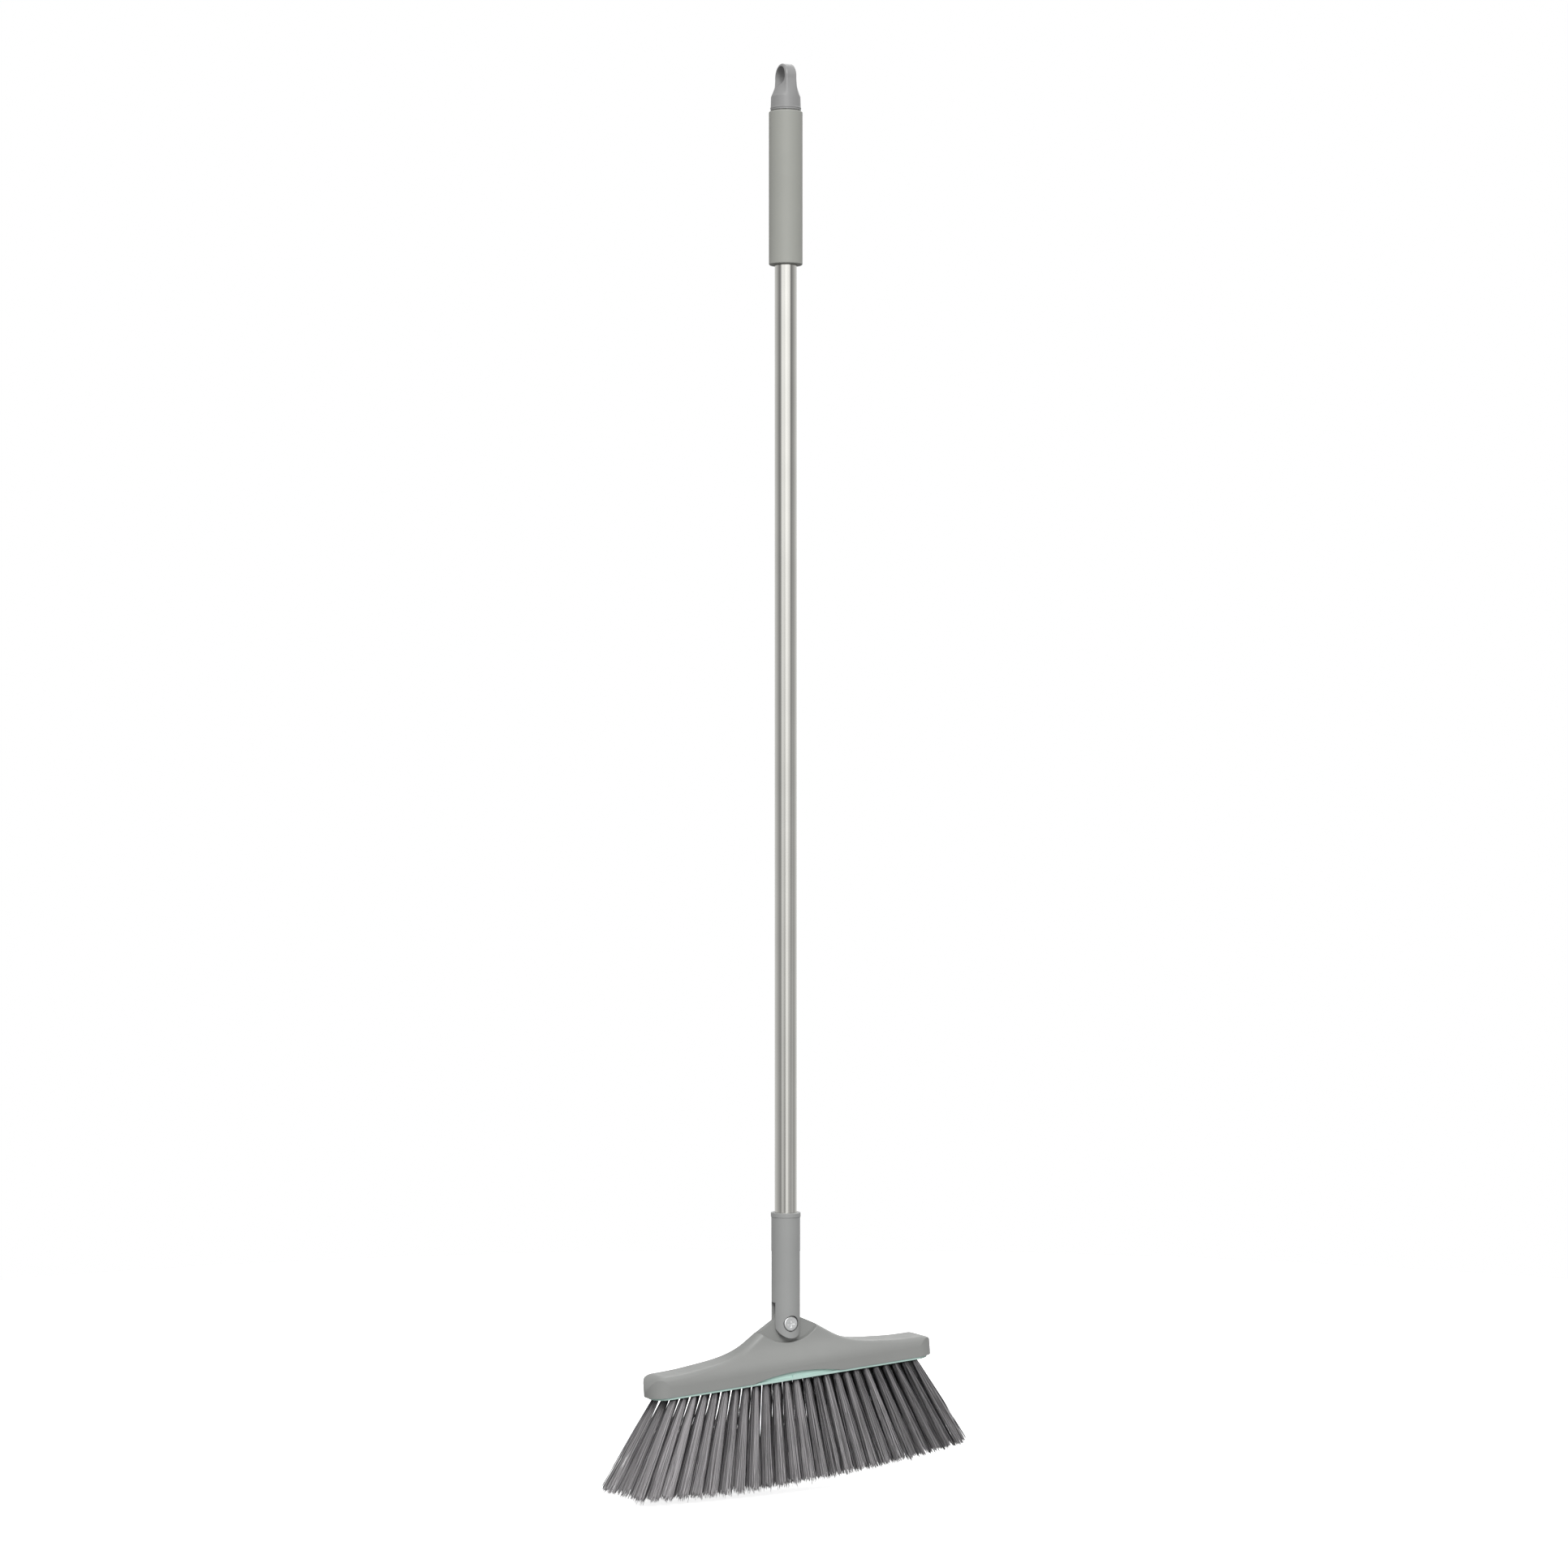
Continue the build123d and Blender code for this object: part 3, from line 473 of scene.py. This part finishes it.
def row_mesh(name, axes, style, draw):
    """Fill a row of tufts with strands, all joined in one mesh."""
    template, faces = make_strand()
    down = -template[:, 2]
    count = style.strands
    clouds, tones_and_painted_shade = [], []
    for root, tip in axes:
        axis = tip - root
        length = np.linalg.norm(axis) - TUFT_SEAT
        axis = axis / np.linalg.norm(axis)
        start = root + axis * (TUFT_SEAT - STRAND_SINK)
        side = np.cross(axis, (0.0, 1.0, 0.0))
        side = side / np.linalg.norm(side)
        front = np.cross(axis, side)
        angle = np.arange(count) * GOLDEN_ANGLE + draw.uniform(-0.5, 0.5, count)
        share = np.sqrt((np.arange(count) + draw.uniform(0.2, 0.8, count)) / count)
        tip_angle = angle + draw.normal(0.0, 0.16, count)
        tip_share = np.clip(share + draw.normal(0.0, 0.07, count), 0.0, 1.15)
        lengths = length + STRAND_SINK - TIP_CROWN * tip_share ** 2
        lengths = lengths + draw.normal(0.0, style.raggedness, count)
        straggler = draw.random(count) < STRAGGLERS
        lengths = lengths + np.where(straggler, draw.uniform(0.5, 2.2, count) * MM, 0.0)
        bow = draw.normal(0.0, BOW, (count, 2))
        wave = draw.normal(0.0, style.crimp, (count, 2))
        phase = draw.uniform(0.0, 2 * math.pi, (count, 2))
        root_xy = style.root_spread * share[:, None] * unit_circle(angle)
        tip_xy = style.tip_spread * tip_share[:, None] * unit_circle(tip_angle)
        t = down[None, :, None]
        across = root_xy[:, None] + (tip_xy - root_xy)[:, None] * t ** FLARE_POWER
        across = across + bow[:, None] * t * (1 - t) * 2
        across = across + wave[:, None] * np.sin(CRIMP_WAVES * t + phase[:, None]) * t
        across = across + template[None, :, :2] * style.radius
        points = start + axis * (lengths[:, None] * down[None, :])[:, :, None]
        points = points + side * across[:, :, :1] + front * across[:, :, 1:]
        clouds.append(points.reshape(-1, 3))
        # Tone: a random shade for each tuft and strand, a little paler where the tips are split, with
        # painted light towards the left end, painted shade at a tuft's two sides against its paler
        # middle, and a painted shadow in the hole.
        # Random per tuft, plus painted light: paler towards the left end.
        tuft_tone_and_light = draw.normal(0.47, 0.07) - 0.16 * root[0] / axes[-1][0][0]
        # Painted shade: darker at a tuft's two sides and paler in its middle, plus a random shade per
        # strand.
        outward = np.abs(np.cos(angle)) * share
        strand_tone_and_shade = tuft_tone_and_light + 0.13 - 0.85 * outward ** 3 + draw.normal(0.0, 0.19, count)
        shade = strand_tone_and_shade[:, None] + 0.10 * down[None, :] ** 3
        # Painted shadow: strands darker in the hole and just below the block.
        shade = shade - 0.55 * np.exp(-down[None, :] / 0.07)
        tones_and_painted_shade.append(shade.reshape(-1))
    total = len(axes) * count
    mesh = bpy.data.meshes.new(name)
    size = len(template)
    corners = np.concatenate([np.array(face) for face in faces])
    sides = np.array([len(face) for face in faces])
    all_corners = (np.arange(total)[:, None] * size + corners[None, :]).reshape(-1)
    all_sides = np.tile(sides, total)
    starts = np.concatenate([[0], np.cumsum(all_sides)[:-1]])
    mesh.vertices.add(total * size)
    mesh.loops.add(len(all_corners))
    mesh.polygons.add(len(all_sides))
    mesh.vertices.foreach_set("co", np.concatenate(clouds).astype(np.float32).reshape(-1))
    mesh.loops.foreach_set("vertex_index", all_corners.astype(np.int32))
    mesh.polygons.foreach_set("loop_start", starts.astype(np.int32))
    mesh.update(calc_edges=True)
    mesh.validate()
    tone_and_painted_shade = mesh.attributes.new("tone_and_painted_shade", "FLOAT", "POINT")
    tone_and_painted_shade.data.foreach_set("value", np.clip(np.concatenate(tones_and_painted_shade), 0.0, 1.0).astype(np.float32))
    return mesh


class BROOM_OT_bristles(bpy.types.Operator):
    """Replace the four rows of plain tufts with strands."""
    bl_idname = "broom.bristles"
    bl_label = "Bristles"

    def execute(self, context):
        look = context.scene.broom_finishes
        style = context.scene.broom_bristles
        # Extruded and split polyester: satin strands, each reflecting one fine line along it.
        fibre = bristle_fibre(
            "extruded_polyester_fibre", look.fibre_dark_and_shaded, look.fibre_light, roughness=0.42)
        draw = np.random.default_rng(DRAW_SEED)
        for number in (1, 2, 3, 4):
            node = f"tufts_row_{number}"
            mesh = row_mesh(f"bristles_row_{number}", tuft_axes(node), style, draw)
            row = bpy.data.objects.new(f"bristles_row_{number}", mesh)
            context.scene.collection.objects.link(row)
            mesh.materials.append(fibre)
            mesh.shade_smooth()
            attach(row, HEAD_BODY)
            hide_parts(node)
        return {"FINISHED"}


class BROOM_OT_studio(bpy.types.Operator):
    """Make the camera, the pale floor and the studio's soft light."""
    bl_idname = "broom.studio"
    bl_label = "Studio"

    def execute(self, context):
        scene = context.scene
        studio = scene.broom_studio
        scene.view_settings.view_transform = "Standard"
        azimuth = math.radians(VIEW_AZIMUTH)
        back = Vector((math.sin(azimuth), -math.cos(azimuth), 0.0))
        right = Vector((math.cos(azimuth), math.sin(azimuth), 0.0))
        lens = bpy.data.cameras.new("camera")
        lens.lens = CAMERA_LENS
        lens.sensor_width = CAMERA_SENSOR
        lens.clip_end = 50.0
        camera = bpy.data.objects.new("camera", lens)
        scene.collection.objects.link(camera)
        camera.location = back * CAMERA_DISTANCE - right * CAMERA_LEFT
        camera.location.z = PIVOT.z + CAMERA_ABOVE_PIVOT
        camera.rotation_euler = (math.radians(90), 0.0, azimuth)
        scene.camera = camera
        self.make_floor(scene, studio)
        self.light_world(scene, studio)
        self.hang_light(scene, "key", studio.key, KEY_TURN, KEY_RISE, KEY_SOFTNESS)
        self.hang_light(scene, "fill", studio.fill, FILL_TURN, FILL_RISE, FILL_SOFTNESS)
        return {"FINISHED"}

    def hang_light(self, scene, name, strength, turn, rise, softness):
        """Hang a distant soft light at an angle from the camera and a height above the horizon."""
        lamp = bpy.data.lights.new(name, "SUN")
        lamp.energy = strength
        lamp.angle = math.radians(softness)
        light = bpy.data.objects.new(name, lamp)
        scene.collection.objects.link(light)
        around, up = math.radians(VIEW_AZIMUTH + turn), math.radians(rise)
        level = math.cos(up)
        toward = Vector((math.sin(around) * level, -math.cos(around) * level, math.sin(up)))
        light.location = PIVOT + LIGHT_DISTANCE * toward
        light.rotation_euler = toward.to_track_quat("Z", "Y").to_euler()

    def make_floor(self, scene, studio):
        """Lay a pale round floor that glows a little, so that shadows on it stay faint."""
        bpy.ops.object.select_all(action="DESELECT")
        bpy.ops.mesh.primitive_circle_add(
            vertices=96, radius=studio.floor_radius, fill_type="NGON",
            location=(0.0, 0.0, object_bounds()[0].z))
        floor = bpy.context.object
        floor.name = "floor"
        bpy.ops.object.transform_apply(location=True, rotation=True, scale=True)
        material, tree, shader, place = new_surface("painted_floor")
        cloud = add_node(tree, "ShaderNodeTexNoise", {"Vector": place, "Scale": 3.0, "Detail": 2.0})
        paint = add_node(tree, "ShaderNodeValToRGB", {"Fac": cloud.outputs["Fac"]})
        set_stops(paint, [(0.3, (0.84, 0.84, 0.84)), (0.7, (0.86, 0.86, 0.86))])
        tree.links.new(paint.outputs["Color"], shader.inputs["Base Color"])
        shader.inputs["Roughness"].default_value = 0.9
        shader.inputs["Specular IOR Level"].default_value = 0.1
        shader.inputs["Emission Color"].default_value = (1.0, 1.0, 1.0, 1.0)
        shader.inputs["Emission Strength"].default_value = 0.82
        floor.data.materials.append(material)
        floor.visible_diffuse = False
        floor.visible_glossy = False
        floor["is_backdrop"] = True

    def light_world(self, scene, studio):
        """Light the studio by bands of brightness, while the camera sees plain white."""
        world = bpy.data.worlds.new("studio")
        world.use_nodes = True
        scene.world = world
        tree = world.node_tree
        background = tree.nodes["Background"]
        toward = add_node(tree, "ShaderNodeTexCoord").outputs["Generated"]
        turned = add_node(tree, "ShaderNodeMapping", {
            "Vector": toward, "Rotation": (0.0, 0.0, -math.radians(VIEW_AZIMUTH))})
        parts = add_node(tree, "ShaderNodeSeparateXYZ", {"Vector": turned.outputs["Vector"]})
        back = add_node(tree, "ShaderNodeMath", {0: parts.outputs["Y"], 1: -1.0}, operation="MULTIPLY")
        around = add_node(
            tree, "ShaderNodeMath", {0: parts.outputs["X"], 1: back.outputs[0]}, operation="ARCTAN2")
        share = add_node(tree, "ShaderNodeMapRange", {
            "Value": around.outputs[0], "From Min": -math.pi, "From Max": math.pi})
        rounds = []
        for stops in (LOWER_ROUND, UPPER_ROUND):
            ramp = add_node(tree, "ShaderNodeValToRGB", {"Fac": share.outputs["Result"]})
            set_stops(ramp, [((angle + 180) / 360, (value / ROUND_PEAK,) * 3) for angle, value in stops])
            rounds.append(ramp.outputs["Color"])
        height = parts.outputs["Z"]
        bank = add_node(tree, "ShaderNodeMapRange", {
            "Value": height, "From Min": BANK_FROM, "From Max": BANK_TO})
        walls = add_node(
            tree, "ShaderNodeMix", {"Factor": bank.outputs["Result"], "A": rounds[0], "B": rounds[1]})
        over = add_node(tree, "ShaderNodeMapRange", {
            "Value": height, "From Min": CEILING_FROM, "From Max": CEILING_TO})
        front = add_node(tree, "ShaderNodeMapRange", {
            "Value": back.outputs[0], "From Min": -0.6, "From Max": 0.9,
            "To Min": studio.rear / ROUND_PEAK, "To Max": studio.overhead / ROUND_PEAK})
        ceiling = add_node(tree, "ShaderNodeMix", {
            "Factor": over.outputs["Result"], "A": walls.outputs["Result"], "B": front.outputs["Result"]})
        under = add_node(tree, "ShaderNodeMapRange", {
            "Value": height, "From Min": GROUND_FROM, "From Max": GROUND_TO})
        ground = add_node(tree, "ShaderNodeMix", {
            "Factor": under.outputs["Result"], "A": ceiling.outputs["Result"],
            "B": studio.underneath / ROUND_PEAK})
        lit = add_node(
            tree, "ShaderNodeMath", {0: ground.outputs["Result"], 1: ROUND_PEAK * studio.brightness},
            operation="MULTIPLY")
        seen = add_node(tree, "ShaderNodeLightPath").outputs["Is Camera Ray"]
        strength = add_node(tree, "ShaderNodeMix", {"Factor": seen, "A": lit.outputs[0], "B": 1.0})
        background.inputs["Color"].default_value = (1.0, 1.0, 1.0, 1.0)
        tree.links.new(strength.outputs["Result"], background.inputs["Strength"])


class BROOM_PT_panel(bpy.types.Panel):
    """Lists what the broom is made of."""
    bl_label = "Swivel-head broom"
    bl_idname = "BROOM_PT_panel"
    bl_space_type = "VIEW_3D"
    bl_region_type = "UI"
    bl_category = "Broom"

    def draw(self, context):
        for group in ("broom_finishes", "broom_bristles", "broom_studio"):
            settings = getattr(context.scene, group)
            box = self.layout.box()
            for name in settings.bl_rna.properties.keys():
                if name not in ("rna_type", "name"):
                    box.prop(settings, name)
        for operator in OPERATORS:
            self.layout.operator(operator.bl_idname)


GROUPS = {"broom_finishes": BroomFinishes, "broom_bristles": BroomBristles, "broom_studio": BroomStudio}
OPERATORS = (
    BROOM_OT_grey_plastics, BROOM_OT_grip, BROOM_OT_tube, BROOM_OT_hardware, BROOM_OT_block,
    BROOM_OT_bristles, BROOM_OT_studio,
)


def register():
    for kind in (*GROUPS.values(), *OPERATORS, BROOM_PT_panel):
        bpy.utils.register_class(kind)
    for name, kind in GROUPS.items():
        setattr(bpy.types.Scene, name, bpy.props.PointerProperty(type=kind))


def unregister():
    for name in GROUPS:
        delattr(bpy.types.Scene, name)
    for kind in reversed((*GROUPS.values(), *OPERATORS, BROOM_PT_panel)):
        bpy.utils.unregister_class(kind)


def main():
    register()
    bpy.ops.broom.grey_plastics()
    bpy.ops.broom.grip()
    bpy.ops.broom.tube()
    bpy.ops.broom.hardware()
    bpy.ops.broom.block()
    bpy.ops.broom.bristles()
    bpy.ops.broom.studio()


if __name__ == "__main__":
    main()
